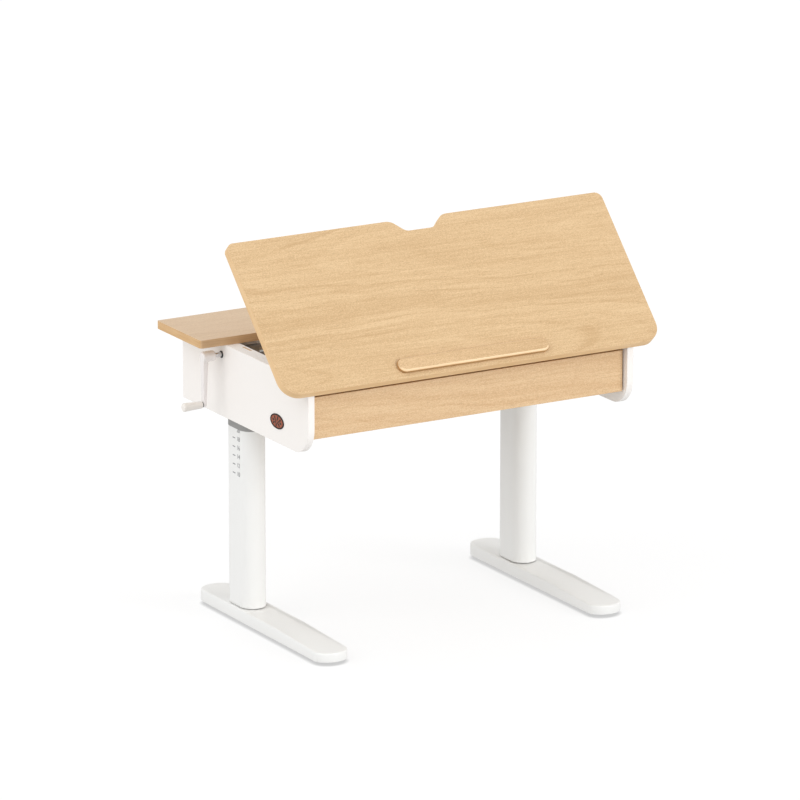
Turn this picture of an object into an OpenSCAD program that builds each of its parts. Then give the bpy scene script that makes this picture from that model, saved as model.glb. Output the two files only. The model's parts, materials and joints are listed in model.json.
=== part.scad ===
// Height-adjustable drafting table: a tilting top with a notch for cables, a fixed rear shelf,
// a full-width drawer between two side panels, and a pull-out crank that works two lifting columns.
// Millimetres, +Z up, +Y to the rear. The origin lies on the floor under the middle of the outline,
// crank handle included, so the desk's own middle plane stands at x = desk_x.

/* [Top] */
// Width of the tilting top and of the rear shelf
top_w = 1000; // [940:10:1060]
// Depth of the tilting top, along its slope
board_d = 406; // [396:1:416]
// Thickness of the tilting top and of the rear shelf
board_t = 19; // [18:0.5:22]
// Depth of the rear shelf
shelf_d = 212; // [206:1:218]
// Gap between the level top and the rear shelf
top_gap = 3; // [2:0.5:5]
// Height of the level top above the floor, as it stands
desk_h = 693.5; // [690:0.5:697]
// Slope of the top, as it stands
tilt_rest = 45.9; // [30:0.1:49]
// Steepest slope of the top
tilt_max = 50; // [50:1:52]
// Corner radius at the top's front
front_r = 45; // [20:1:60]
// Corner radius at the top's rear
rear_r = 18; // [8:1:30]
// Width of the cable notch across its floor
notch_w = 74; // [50:1:100]
// Depth of the cable notch
notch_d = 31; // [20:1:45]
// Length of the pencil stop
stop_w = 400; // [300:5:500]
// Breadth of the pencil stop
stop_d = 37; // [28:1:42]
// Height of the pencil stop above the top
stop_h = 10; // [6:0.5:14]

/* [Side unit] */
// Outside width across the side panels
unit_w = 866; // [856:2:876]
// Thickness of a side panel
panel_t = 17; // [16:0.5:18]
// Length of a side panel, front to rear
panel_l = 597.5; // [590:0.5:600]
// Height of a side panel
panel_h = 175; // [170:1:180]
// Radius of a side panel's lower front corner
panel_r = 63; // [40:1:80]
// Height of the drawer front
drawer_h = 99; // [94:1:99]
// Setback of the drawer front behind the side panels' front edges
drawer_setback = 15; // [12:1:18]
// Travel of the drawer
drawer_travel = 230; // [150:10:240]

/* [Columns and feet] */
// Distance from the desk's middle plane to each column's axis
column_x = 368; // [366:1:370]
// Distance from the middle of the depth back to the columns' axes
column_y = 119; // [115:1:121]
// Breadth of an outer tube, across its flat sides
outer_w = 64; // [62:1:64]
// Length of an outer tube's section, over its round ends
outer_l = 108; // [106:1:110]
// Height of the outer tubes' top edge above the floor
outer_top = 466; // [455:1:468]
// Greatest rise above the height as it stands
lift_up = 120; // [60:1:120]
// Greatest drop below the height as it stands
lift_down = 126; // [60:1:126]
// Breadth of a foot
foot_w = 85; // [76:1:88]
// Length of a foot
foot_l = 600; // [575:1:604]
// Height of a foot's top at the column
foot_top = 37.5; // [37:0.5:42]
// Height of a foot's top at its front tip
foot_tip = 30; // [28:0.5:36]

/* [Crank] */
// Height of the crank's axis above the floor
crank_z = 647.5; // [647:0.5:648]
// Distance from the crank's axis to the knob's axis
crank_r = 114; // [100:1:120]
// Distance from the desk's middle plane to the knob's outer end
crank_reach = 536; // [530:1:545]
// Travel of the crank when it is pulled out for use
crank_pull = 45; // [35:1:50]

/* [Hidden] */
$fn = 64;
clear = 0.3;

overall_d = 618;
rear_y = overall_d / 2;
desk_x = (crank_reach - top_w / 2) / 2;

// Tilting top: drawn level, then turned up about the hinge line
board_z = desk_h - board_t;
board_y = rear_y - shelf_d - top_gap - board_d;
hinge_in = 43.6;
hinge_rise = 5.2;
hinge_y = board_y + hinge_in;
hinge_z = board_z + hinge_rise;
notch_mouth = notch_w + 2 * notch_d;
mouth_r = 32;
notch_r = 22;
stop_y = board_y + 12.5 + stop_d / 2;

// Side unit
panel_x = unit_w / 2 - panel_t;
panel_y = rear_y - panel_l;
unit_top = board_z - clear;
panel_z = unit_top - panel_h;
rail_t = 18;
rail_h = 38;
rail_x = panel_x - rail_t;
rail_y = -247;
rail_end = 288;
back_t = 16;
back_inset = 3;
back_y = rear_y - back_t - back_inset;
back_z = 545;
sweep_gap = hinge_z - unit_top + 2;
cut_top_y = hinge_y + (unit_top - hinge_z + sweep_gap / cos(tilt_max)) / tan(tilt_max);
cut_low_z = hinge_z + (panel_y - hinge_y) * tan(tilt_max) - sweep_gap / cos(tilt_max);

// Drawer
drawer_x = panel_x - 3.5;
drawer_y = panel_y + drawer_setback;
drawer_top = 634.7;
drawer_z = drawer_top - drawer_h;
front_t = 16;
box_x = 403;
box_t = 12;
box_y = drawer_y + front_t;
box_end = 47;
box_z = 549;
box_h = 62;
slide_z = 580;
slide_y = box_y + 6;
slide_l = 286;
bar_y = hinge_y + 2.4;
bar_t = 18;
bar_z = drawer_top + 4;
bar_top = 672;
bottom_t = 5;
slide_t = panel_x - 2.8 - box_x;
slide_h = 24;
runner_t = 8;
runner_h = 34;
runner_slot_h = 26;
runner_wall = 2;

// Fittings of the side unit
stiffener_h = 9.6;
stiffener_w = 25;
stiffener_wall = 2;
stiffener_y = rear_y - shelf_d + 9;
landing_w = 7;
landing_l = 40;
landing_h = 4;
landing_in = 8;
landing_y = 45;
badge_y = -145;
badge_z = 551;
badge_w = 62;
badge_h = 35;
badge_rim = 4;
badge_t = 2.4;
badge_depth = 1;

// Columns: outer tube on the foot, inner tube under the side unit
outer_wall = 2.5;
inner_w = outer_w - 2 * outer_wall - 2.2;
inner_l = outer_l - 2 * outer_wall - 2.2;
inner_wall = 2;
inner_z = 190;
plate_z = 612;
plate_t = 6;
base_t = 10;
ring_h = 16;
skirt_h = 30;
shoe_h = 30;
nut_tube_d = 30;
nut_tube_top = 396;
nut_tube_wall = 2;
nut_h = 24;
nut_flange = 4;
screw_d = 14;
screw_z = 250;
collar_z = plate_z - 16;
thrust_d = 24;
washer_d = 26;
washer_t = 3;
collar_lip = 0.6;
scale_w = 32;
scale_h = 124;
scale_t = 0.2;
mark_gap = 21.1;
mark_l = 6.5;
mark_w = 1.4;
mark_t = 0.15;

// Drive: cross tube with a bevel gear beside each screw, in a gearbox on each column
gear_r = 11;
gear_in = 8;
gear_teeth = 12;
tube_gear_hub = 6;
screw_gear_hub = 15;
tube_d = 15;
tube_bore = 12.1;
journal_d = 10;
run_fit = 0.12;
box_half_x = 22;
box_half_y = 24;
box_top = 664;
box_wall = 4;
ear_w = 20;
ear_l = 68;
ear_t = 4;
head_in = 34;
head_y = column_y - 60;
head_l = 124;
head_flange_h = 60;
beam_y = 156;
beam_w = 26;
beam_h = 36;
beam_wall = 2;
flange_x = rail_x - 4;
shelf_screw_y = [200, 270];
shelf_screw_d = 4;
shelf_screw_head_d = 8;
shelf_screw_head_h = 2.5;
shelf_screw_l = rail_h + 12;
bracket_screw_y = [-45, 45];
bracket_screw_z = unit_top - 14;
bracket_screw_d = 5;
bracket_screw_l = 19;
bracket_screw_head_d = 9;
bracket_screw_head_h = 3;
gearbox_screw_y = [-29, 29];
gearbox_screw_d = 5;
gearbox_screw_head_d = 8.5;
gearbox_screw_head_h = 3;

// Feet
pad_h = 8;
foot_y = -3;
foot_end = 34;
skin = 3;
slope_y = -84;
glide_y = [-240, 245];
glide_d = 34;
stem_d = 8;
stem_top = 22;
stem_boss_d = 20;
column_block_w = 40;
column_block_l = 92;
bolt_y = [-32, 32];
bolt_d = 8;
bolt_seat = 17;
bolt_head_d = 13;
bolt_head_h = 8;
bolt_play = 0.4;
bolt_recess_d = 16.4;

// Hinges, stays and crank
hinge_x = [-300, 0, 300];
hinge_w = 60;
knuckle = 19.6;
pin_d = 5;
barrel_d = 10;
leaf_t = 2;
leaf_l = 29;
leaf_in = 8;
neck_l = 12;
fixed_leaf_h = 26;
fixed_leaf_z = bar_z + 3;
fixed_neck_z = bar_z + 20;
barrel_pocket_y = hinge_y - 11;
barrel_pocket_l = 18;
barrel_pocket_h = 11;
leaf_pocket_l = 38;
leaf_screw_d = 3.5;
fixed_leaf_screw_x = [-18, 18];
fixed_leaf_screw_z = bar_z + 14;
fixed_leaf_screw_l = 15;
fixed_leaf_screw_head_d = 6.5;
fixed_leaf_screw_head_h = 1.6;
moving_leaf_screw_x = [-20, 20];
moving_leaf_screw_in = 26;
moving_leaf_screw_l = 13;
stay_r = 65;
stay_w = 12;
stay_t = 4;
stay_x = 388;
stay_sweep = 62;
stay_top = 5.7;
stay_foot_t = 3;
stay_foot_w = 20;
stay_foot_l = 24;
stay_screw_x = stay_x - 9;
stay_screw_d = 4;
stay_screw_l = 15;
stay_screw_head_d = 7.5;
stay_screw_head_h = 2;
guide_y = hinge_y + 52;
guide_l = 26;
guide_h = 18;
guide_slot_l = 22;
guide_drop = 22;
guide_wall = 4;
stub_d = 11.5;
socket_d = 14.6;
socket_flange_d = 17;
socket_flange_t = 1;
socket_hole_d = socket_d + run_fit;
socket_bore = stub_d + 0.16;
rail_hole_d = 18;
hub_d = 25;
arm_w = 19;
arm_t = 14;
arm_end_d = 13;
arm_end_t = 8.5;
arm_rise = 1.5;
arm_out = 484;
hub_in = 454;
shaft_in = 320;
shaft_end = arm_out - 4;
knob_in = arm_out + 1.8;
knob_pin_d = 6;
knob_pin_l = 45;
knob_bore = knob_pin_d + 0.16;
knob_neck_r = 7.6;
knob_r = 10.2;

// ---- helpers -------------------------------------------------------------------------------

// Places a piece that is drawn about the desk's middle plane; side -1 mirrors it to the left.
module desk(side = 1) {
  translate([desk_x, 0, 0])
    mirror([side < 0 ? 1 : 0, 0, 0])
      children();
}

// Turns a piece of the level top up to its slope.
module tilted() {
  translate([0, hinge_y, hinge_z])
    rotate([tilt_rest, 0, 0])
      translate([0, -hinge_y, -hinge_z])
        children();
}

// Extrudes a section drawn in the YZ plane along +X, from x, by t.
module along_x(x, t) {
  translate([x, 0, 0])
    rotate([90, 0, 90])
      linear_extrude(t)
        children();
}

// Round bar along X.
module bar_x(x, y, z, d, l) {
  translate([x, y, z])
    rotate([0, 90, 0])
      cylinder(d = d, h = l);
}

module stadium(w, l) {
  square([w, l - w], center = true);
  for (s = [-1, 1])
    translate([0, s * (l - w) / 2])
      circle(d = w);
}

// Flat-sided tube with round ends, standing on z.
module column_tube(w, l, wall, z, h) {
  translate([column_x, column_y, z])
    linear_extrude(h)
      difference() {
        stadium(w, l);
        stadium(w - 2 * wall, l - 2 * wall);
      }
}

function unit(v) = v / norm(v);

// Arc of radius r that rounds the corner b between a and c.
function corner(a, b, c, r) =
  r == 0 ? [b] :
  let (
    u = unit(a - b),
    v = unit(c - b),
    half = acos(u * v) / 2,
    m = b + unit(u + v) * r / sin(half),
    p = b + u * r / tan(half) - m,
    q = b + v * r / tan(half) - m,
    a0 = atan2(p[1], p[0]),
    turn = atan2(q[1], q[0]) - a0,
    sweep = turn > 180 ? turn - 360 : turn < -180 ? turn + 360 : turn,
    steps = max(3, ceil(abs(sweep) / 7.5))
  )
  [for (i = [0 : steps]) m + r * [cos(a0 + sweep * i / steps), sin(a0 + sweep * i / steps)]];

// Polygon whose points each carry a corner radius: [x, y, r].
module rounded_polygon(points) {
  n = len(points);
  xy = [for (p = points) [p[0], p[1]]];
  polygon([for (i = [0 : n - 1]) each corner(xy[(i + n - 1) % n], xy[i], xy[(i + 1) % n], points[i][2])]);
}

// ---- feet and outer columns ----------------------------------------------------------------

// Outline of a foot, its ends flatter than half-round.
module foot_outline(inset) {
  w = foot_w - 2 * inset;
  end = foot_end - inset;
  translate([column_x, foot_y]) {
    square([w, foot_l - 2 * foot_end], center = true);
    for (s = [-1, 1])
      translate([0, s * (foot_l / 2 - foot_end)])
        scale([1, 2 * end / w])
          circle(d = w);
  }
}

// Side profile of a foot, lowered by drop: level at the rear, sloping down to the front tip.
module foot_profile(drop) {
  front = foot_y - foot_l / 2 - 1;
  rear = foot_y + foot_l / 2 + 1;
  polygon([[front, pad_h - drop], [rear, pad_h - drop], [rear, foot_top - drop],
    [slope_y, foot_top - drop], [front, foot_tip - drop]]);
}

module foot_shell(inset, drop) {
  intersection() {
    translate([0, 0, -1])
      linear_extrude(foot_top + 2)
        foot_outline(inset);
    along_x(column_x - foot_w, 2 * foot_w)
      foot_profile(drop);
  }
}

// Solid blocks inside a foot, under the column and round the glides' stems.
module foot_blocks() {
  translate([column_x, column_y, 0])
    linear_extrude(foot_top + 1)
      stadium(column_block_w, column_block_l);
  for (y = glide_y)
    translate([column_x, y, 0])
      cylinder(d = stem_boss_d, h = foot_top + 1);
}

module foot() {
  difference() {
    foot_shell(0, 0);
    difference() {
      foot_shell(skin, skin);
      foot_blocks();
    }
    for (y = bolt_y)
      translate([column_x, column_y + y, 0]) {
        cylinder(d = bolt_d + bolt_play, h = foot_top + 1);
        cylinder(d = bolt_recess_d, h = bolt_seat);
      }
    for (y = glide_y)
      translate([column_x, y, 0])
        cylinder(d = stem_d, h = stem_top);
  }
}

module left_foot() { color("whitesmoke") desk(-1) foot(); }
module right_foot() { color("whitesmoke") desk() foot(); }

module levelling_glides() {
  color("#202022")
    for (side = [-1, 1], y = glide_y)
      desk(side)
        translate([column_x, y, 0]) {
          cylinder(d = glide_d, h = pad_h);
          cylinder(d = stem_d, h = stem_top);
        }
}

module foot_bolts() {
  color("silver")
    for (side = [-1, 1], y = bolt_y)
      desk(side)
        translate([column_x, column_y + y, bolt_seat]) {
          translate([0, 0, -bolt_head_h])
            cylinder(d = bolt_head_d, h = bolt_head_h);
          cylinder(d = bolt_d, h = foot_top + base_t - bolt_seat);
        }
}

module base_plate() {
  difference() {
    translate([column_x, column_y, foot_top])
      linear_extrude(base_t)
        stadium(outer_w - 2 * outer_wall, outer_l - 2 * outer_wall);
    for (y = bolt_y)
      translate([column_x, column_y + y, foot_top - 1])
        cylinder(d = bolt_d, h = base_t + 2);
  }
}

module left_base_plate() { color("gray") desk(-1) base_plate(); }
module right_base_plate() { color("gray") desk() base_plate(); }

module outer_tube() {
  column_tube(outer_w, outer_l, outer_wall, foot_top, outer_top - foot_top);
}

module left_outer_tube() { color("white") desk(-1) outer_tube(); }
module right_outer_tube() { color("white") desk() outer_tube(); }

// Guide collar: a ring on the outer tube's edge with a skirt inside the tube.
module collar() {
  wall = (outer_w - inner_w) / 2 - clear;
  column_tube(outer_w + 2 * collar_lip, outer_l + 2 * collar_lip, wall + collar_lip, outer_top, ring_h);
  column_tube(outer_w - 2 * outer_wall, outer_l - 2 * outer_wall, wall - outer_wall,
    outer_top - skirt_h, skirt_h);
}

module left_collar() { color("dimgray") desk(-1) collar(); }
module right_collar() { color("dimgray") desk() collar(); }

// Tube on the base plate that carries the lead screw's nut.
module nut_tube() {
  translate([column_x, column_y, foot_top + base_t])
    difference() {
      cylinder(d = nut_tube_d, h = nut_tube_top - foot_top - base_t);
      translate([0, 0, -1])
        cylinder(d = nut_tube_d - 2 * nut_tube_wall, h = nut_tube_top);
    }
}

module left_nut_tube() { color("gray") desk(-1) nut_tube(); }
module right_nut_tube() { color("gray") desk() nut_tube(); }

module screw_nut() {
  translate([column_x, column_y, nut_tube_top])
    difference() {
      union() {
        translate([0, 0, nut_flange - nut_h])
          cylinder(d = nut_tube_d - 2 * nut_tube_wall, h = nut_h);
        cylinder(d = nut_tube_d, h = nut_flange);
      }
      translate([0, 0, -nut_h])
        cylinder(d = screw_d + run_fit, h = 2 * nut_h);
    }
}

module left_screw_nut() { color("goldenrod") desk(-1) screw_nut(); }
module right_screw_nut() { color("goldenrod") desk() screw_nut(); }

// Height scale on the left column's outer side: a thin plate with raised marks.
module height_scale() {
  face = column_x + outer_w / 2;
  color("gainsboro")
    desk(-1) {
      translate([face, column_y - 22, outer_top - 2 - scale_h])
        cube([scale_t, scale_w, scale_h]);
      for (i = [0 : 5])
        translate([face + scale_t, column_y + 2, outer_top - 8 - i * mark_gap])
          cube([mark_t, mark_l, mark_w]);
    }
}

// ---- inner columns and drive ---------------------------------------------------------------

module inner_tube() {
  column_tube(inner_w, inner_l, inner_wall, inner_z, plate_z - inner_z);
}

module left_inner_tube() { color("dimgray") desk(-1) inner_tube(); }
module right_inner_tube() { color("dimgray") desk() inner_tube(); }

// Plastic shoe round the inner tube's lower end, sliding in the outer tube.
module glide_shoe() {
  wall = (outer_w - 2 * outer_wall - 2 * clear - inner_w) / 2;
  column_tube(inner_w + 2 * wall, inner_l + 2 * wall, wall, inner_z, shoe_h);
}

module left_glide_shoe() { color("#2a2a2c") desk(-1) glide_shoe(); }
module right_glide_shoe() { color("#2a2a2c") desk() glide_shoe(); }

// Plate on the inner tube with a flange that is screwed to the rail.
module head_bracket() {
  difference() {
    union() {
      translate([column_x - head_in, head_y, plate_z])
        cube([rail_x - column_x + head_in, head_l, plate_t]);
      translate([flange_x, head_y, plate_z])
        cube([rail_x - flange_x, head_l, head_flange_h]);
    }
    translate([column_x, column_y, plate_z - 1])
      cylinder(d = journal_d + run_fit, h = plate_t + 2);
    bar_x(flange_x - 1, column_y, crank_z, rail_hole_d, rail_x - flange_x + 2);
    bracket_screw_holes();
    gearbox_screw_holes(plate_z - 1, plate_t + 2);
  }
}

module left_head_bracket() { color("gray") desk(-1) head_bracket(); }
module right_head_bracket() { color("gray") desk() head_bracket(); }

module bracket_screw_holes() {
  for (y = bracket_screw_y)
    bar_x(flange_x - 1, column_y + y, bracket_screw_z, bracket_screw_d, bracket_screw_l + 1);
}

module gearbox_screw_holes(z, h) {
  for (y = gearbox_screw_y)
    translate([column_x, column_y + y, z])
      cylinder(d = gearbox_screw_d, h = h);
}

module gearbox() {
  difference() {
    union() {
      translate([column_x - box_half_x, column_y - box_half_y, plate_z + plate_t])
        cube([2 * box_half_x, 2 * box_half_y, box_top - plate_z - plate_t]);
      translate([column_x - ear_w / 2, column_y - ear_l / 2, plate_z + plate_t])
        cube([ear_w, ear_l, ear_t]);
    }
    translate([column_x - box_half_x + box_wall, column_y - box_half_y + box_wall, plate_z])
      cube([2 * (box_half_x - box_wall), 2 * (box_half_y - box_wall), box_top - plate_z - 3]);
    bar_x(column_x - box_half_x - 1, column_y, crank_z, tube_d + run_fit, 2 * box_half_x + 2);
    gearbox_screw_holes(plate_z, plate_t + 2 * ear_t);
  }
}

module left_gearbox() { color("silver") desk(-1) gearbox(); }
module right_gearbox() { color("silver") desk() gearbox(); }

module gearbox_screws() {
  color("silver")
    for (side = [-1, 1], y = gearbox_screw_y)
      desk(side)
        translate([column_x, column_y + y, plate_z]) {
          cylinder(d = gearbox_screw_d, h = plate_t + ear_t);
          translate([0, 0, plate_t + ear_t])
            cylinder(d = gearbox_screw_head_d, h = gearbox_screw_head_h);
        }
}

module thrust_washers() {
  color("silver")
    for (side = [-1, 1])
      desk(side)
        translate([column_x, column_y, plate_z - washer_t])
          difference() {
            cylinder(d = washer_d, h = washer_t);
            translate([0, 0, -1])
              cylinder(d = journal_d + 2 * clear, h = washer_t + 2);
          }
}

module cross_beam() {
  color("gray")
    desk()
      difference() {
        translate([-flange_x, beam_y, plate_z + plate_t])
          cube([2 * flange_x, beam_w, beam_h]);
        translate([-flange_x - 1, beam_y + beam_wall, plate_z + plate_t + beam_wall])
          cube([2 * flange_x + 2, beam_w - 2 * beam_wall, beam_h - 2 * beam_wall]);
      }
}

// Bevel gear with its apex at the origin, opening along +Z: a root cone and radial teeth.
module bevel_gear(phase, hub) {
  step = 360 / gear_teeth;
  half_tooth = step * 0.19;
  root = 0.84;
  tip = 1.1;
  reach = 2 * gear_r;
  translate([0, 0, gear_in])
    cylinder(r1 = gear_in * root, r2 = gear_r * root, h = gear_r - gear_in);
  intersection() {
    translate([0, 0, gear_in])
      cylinder(r1 = gear_in * tip, r2 = gear_r * tip, h = gear_r - gear_in);
    translate([0, 0, gear_in])
      linear_extrude(gear_r - gear_in)
        for (i = [0 : gear_teeth - 1])
          rotate(phase + i * step)
            polygon([[0, 0], [reach * cos(half_tooth), -reach * sin(half_tooth)],
              [reach * cos(half_tooth), reach * sin(half_tooth)]]);
  }
  translate([0, 0, gear_r])
    cylinder(r = gear_r * root, h = hub);
}

module cross_tube() {
  color("silver")
    desk()
      difference() {
        union() {
          bar_x(-rail_x + 1.5, column_y, crank_z, tube_d, 2 * rail_x - 10);
          for (side = [-1, 1])
            translate([side * column_x, column_y, crank_z])
              rotate([0, 90, 0])
                bevel_gear(0, tube_gear_hub);
        }
        bar_x(-rail_x, column_y, crank_z, tube_bore, 2 * rail_x);
      }
}

// Lead screw with a thrust collar under the head plate and its bevel gear above it.
module lead_screw() {
  translate([0, column_y, 0]) {
    translate([0, 0, screw_z])
      cylinder(d = screw_d, h = collar_z - screw_z);
    translate([0, 0, collar_z])
      cylinder(d = thrust_d, h = plate_z - washer_t - collar_z - clear / 2);
    translate([0, 0, collar_z])
      cylinder(d = journal_d, h = crank_z - gear_r - collar_z);
    translate([0, 0, crank_z])
      rotate([180, 0, 0])
        bevel_gear(180 / gear_teeth, screw_gear_hub);
  }
}

module left_lead_screw() { color("silver") desk() translate([-column_x, 0, 0]) lead_screw(); }
module right_lead_screw() { color("silver") desk() translate([column_x, 0, 0]) lead_screw(); }

// ---- side unit -----------------------------------------------------------------------------

module panel_profile() {
  rounded_polygon([[panel_y, panel_z, panel_r], [rear_y, panel_z, 3], [rear_y, unit_top, 0],
    [cut_top_y, unit_top, 2], [panel_y, cut_low_z, 2]]);
}

module side_panel() {
  along_x(panel_x, panel_t)
    panel_profile();
}

module left_side_panel() {
  color("snow")
    desk(-1)
      difference() {
        side_panel();
        bar_x(panel_x - 1, column_y, crank_z, socket_hole_d, panel_t + 2);
      }
}

module right_side_panel() { color("snow") desk() side_panel(); }

// Rail inside a side panel's top edge, with a pocket for its landing pad.
module rail() {
  difference() {
    translate([rail_x, rail_y, unit_top - rail_h])
      cube([rail_t, rail_end - rail_y, rail_h]);
    landing_pad(landing_h + 1);
    bar_x(rail_x - 1, column_y, crank_z, rail_hole_d, rail_t + 2);
    bracket_screw_holes();
    shelf_screw_holes();
  }
}

module left_rail() { color("snow") desk(-1) rail(); }
module right_rail() { color("snow") desk() rail(); }

module landing_pad(h) {
  translate([rail_x + landing_in, landing_y, unit_top - landing_h])
    linear_extrude(h)
      stadium(landing_w, landing_l);
}

module landing_pads() {
  color("#a5703c")
    for (side = [-1, 1])
      desk(side)
        landing_pad(landing_h);
}

module shelf_screw_holes() {
  for (y = shelf_screw_y)
    translate([rail_x + rail_t / 2, y, unit_top - rail_h - 1])
      cylinder(d = shelf_screw_d, h = shelf_screw_l + 1);
}

module hinge_rail() {
  color("snow")
    desk()
      difference() {
        translate([-panel_x, bar_y, bar_z])
          cube([2 * panel_x, bar_t, bar_top - bar_z]);
        fixed_leaf_screw_holes();
      }
}

module back_panel() {
  color("snow")
    desk()
      translate([-panel_x, back_y, back_z])
        cube([2 * panel_x, back_t, unit_top - back_z]);
}

module rear_shelf() {
  color("#dec4a6")
    desk()
      difference() {
        translate([0, 0, unit_top])
          linear_extrude(board_t)
            rounded_polygon([[-top_w / 2, rear_y - shelf_d, 8], [top_w / 2, rear_y - shelf_d, 8],
              [top_w / 2, rear_y, 5], [-top_w / 2, rear_y, 5]]);
        for (side = [-1, 1])
          mirror([side < 0 ? 1 : 0, 0, 0])
            shelf_screw_holes();
      }
}

// Steel angle that stiffens the shelf's front edge.
module shelf_stiffener() {
  wall = stiffener_wall;
  color("gray")
    desk()
      along_x(-flange_x + 1, 2 * flange_x - 2)
        translate([stiffener_y, unit_top])
          polygon([[0, 0], [stiffener_w, 0], [stiffener_w, -wall], [wall, -wall],
            [wall, -stiffener_h], [0, -stiffener_h]]);
}

module frame_screws() {
  color("silver")
    for (side = [-1, 1])
      desk(side) {
        for (y = bracket_screw_y) {
          bar_x(flange_x, column_y + y, bracket_screw_z, bracket_screw_d, bracket_screw_l);
          bar_x(flange_x - bracket_screw_head_h, column_y + y, bracket_screw_z, bracket_screw_head_d,
            bracket_screw_head_h);
        }
        for (y = shelf_screw_y)
          translate([rail_x + rail_t / 2, y, unit_top - rail_h]) {
            cylinder(d = shelf_screw_d, h = shelf_screw_l);
            translate([0, 0, -shelf_screw_head_h])
              cylinder(d = shelf_screw_head_d, h = shelf_screw_head_h);
          }
      }
}

// Drawer runner: a channel on the side panel, open towards the drawer.
module drawer_runner() {
  difference() {
    translate([panel_x - runner_t, slide_y, slide_z - runner_h / 2])
      cube([runner_t, slide_l, runner_h]);
    translate([panel_x - runner_t - 1, slide_y - 1, slide_z - runner_slot_h / 2])
      cube([runner_t - runner_wall + 1, slide_l + 2, runner_slot_h]);
  }
}

module left_drawer_runner() { color("silver") desk(-1) drawer_runner(); }
module right_drawer_runner() { color("silver") desk() drawer_runner(); }

module oval(w, h) {
  polygon([for (a = [0 : 6 : 354]) [w / 2 * cos(a), h / 2 * sin(a)]]);
}

// Oval badge on the left panel: a raised rim round a shallow field.
module badge() {
  color("#7a4a2c")
    desk(-1)
      translate([unit_w / 2, badge_y, badge_z])
        rotate([90, 0, 90])
          difference() {
            linear_extrude(badge_t)
              oval(badge_w, badge_h);
            translate([0, 0, badge_t - badge_depth])
              linear_extrude(badge_depth + 1)
                oval(badge_w - 2 * badge_rim, badge_h - 2 * badge_rim);
          }
}

// ---- tilting top ---------------------------------------------------------------------------

module board_outline() {
  side = top_w / 2;
  back = board_y + board_d;
  rounded_polygon([[-side, board_y, front_r], [side, board_y, front_r], [side, back, rear_r],
    [notch_mouth / 2, back, mouth_r], [notch_w / 2, back - notch_d, notch_r],
    [-notch_w / 2, back - notch_d, notch_r], [-notch_mouth / 2, back, mouth_r], [-side, back, rear_r]]);
}

module tilting_board() {
  color("#e7c69c")
    desk()
      tilted()
        difference() {
          translate([0, 0, board_z])
            linear_extrude(board_t)
              board_outline();
          for (x = hinge_x) {
            translate([x - hinge_w / 2 - 1, barrel_pocket_y, board_z - 1])
              cube([hinge_w + 2, barrel_pocket_l, barrel_pocket_h + 1]);
            translate([x - hinge_w / 2 - 1, hinge_y, board_z - 1])
              cube([hinge_w + 2, leaf_pocket_l, leaf_t + 1]);
          }
          top_screw_cylinders();
        }
}

// Bar with round ends that stops pencils and books on the sloping top.
module pencil_stop() {
  color("#e8c79d")
    desk()
      tilted()
        translate([0, stop_y, desk_h])
          linear_extrude(stop_h)
            rotate(90)
              stadium(stop_d, stop_w);
}

// ---- hinges and stays ----------------------------------------------------------------------

module fixed_leaf_screw_holes() {
  for (x = hinge_x, s = fixed_leaf_screw_x)
    translate([x + s, bar_y - leaf_t - 1, fixed_leaf_screw_z])
      rotate([-90, 0, 0])
        cylinder(d = leaf_screw_d, h = fixed_leaf_screw_l + 1);
}

// Leaves on the hinge rail, each with the two outer knuckles.
module fixed_hinge_leaves() {
  color("silver")
    desk() {
      for (x = hinge_x)
        difference() {
          union() {
            translate([x - hinge_w / 2, bar_y - leaf_t, fixed_leaf_z])
              cube([hinge_w, leaf_t, fixed_leaf_h]);
            for (s = [-1, 1])
              translate([x + s * (hinge_w - knuckle) / 2 - knuckle / 2, 0, 0]) {
                translate([0, bar_y - leaf_t, fixed_neck_z])
                  cube([knuckle, leaf_t, hinge_z - fixed_neck_z]);
                bar_x(0, hinge_y, hinge_z, barrel_d, knuckle);
              }
          }
          bar_x(x - hinge_w, hinge_y, hinge_z, pin_d, 2 * hinge_w);
          fixed_leaf_screw_holes();
        }
      for (x = hinge_x, s = fixed_leaf_screw_x)
        translate([x + s, bar_y - leaf_t - fixed_leaf_screw_head_h, fixed_leaf_screw_z])
          rotate([-90, 0, 0]) {
            cylinder(d = fixed_leaf_screw_head_d, h = fixed_leaf_screw_head_h);
            cylinder(d = leaf_screw_d, h = fixed_leaf_screw_l);
          }
    }
}

// Leaves let into the top's underside, each with the middle knuckle.
module moving_hinge_leaves() {
  color("silver")
    desk()
      tilted()
        for (x = hinge_x)
          difference() {
            union() {
              translate([x - hinge_w / 2, hinge_y + leaf_in, board_z])
                cube([hinge_w, leaf_l, leaf_t]);
              translate([x - knuckle / 2, hinge_y, board_z + clear])
                cube([knuckle, neck_l, leaf_t - clear]);
              bar_x(x - knuckle / 2, hinge_y, hinge_z, barrel_d, knuckle);
            }
            bar_x(x - knuckle, hinge_y, hinge_z, pin_d + run_fit, 2 * knuckle);
            top_screw_cylinders();
          }
}

module hinge_pins() {
  color("gray")
    desk()
      for (x = hinge_x)
        bar_x(x - hinge_w / 2, hinge_y, hinge_z, pin_d, hinge_w);
}

// Screws that hold the leaves and the stays to the top's underside.
module top_screw_cylinders() {
  for (x = hinge_x, s = moving_leaf_screw_x)
    translate([x + s, hinge_y + moving_leaf_screw_in, board_z])
      cylinder(d = leaf_screw_d, h = moving_leaf_screw_l);
  for (side = [-1, 1])
    translate([side * stay_screw_x, hinge_y + stay_r, board_z - stay_foot_t])
      cylinder(d = stay_screw_d, h = stay_screw_l);
}

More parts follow.
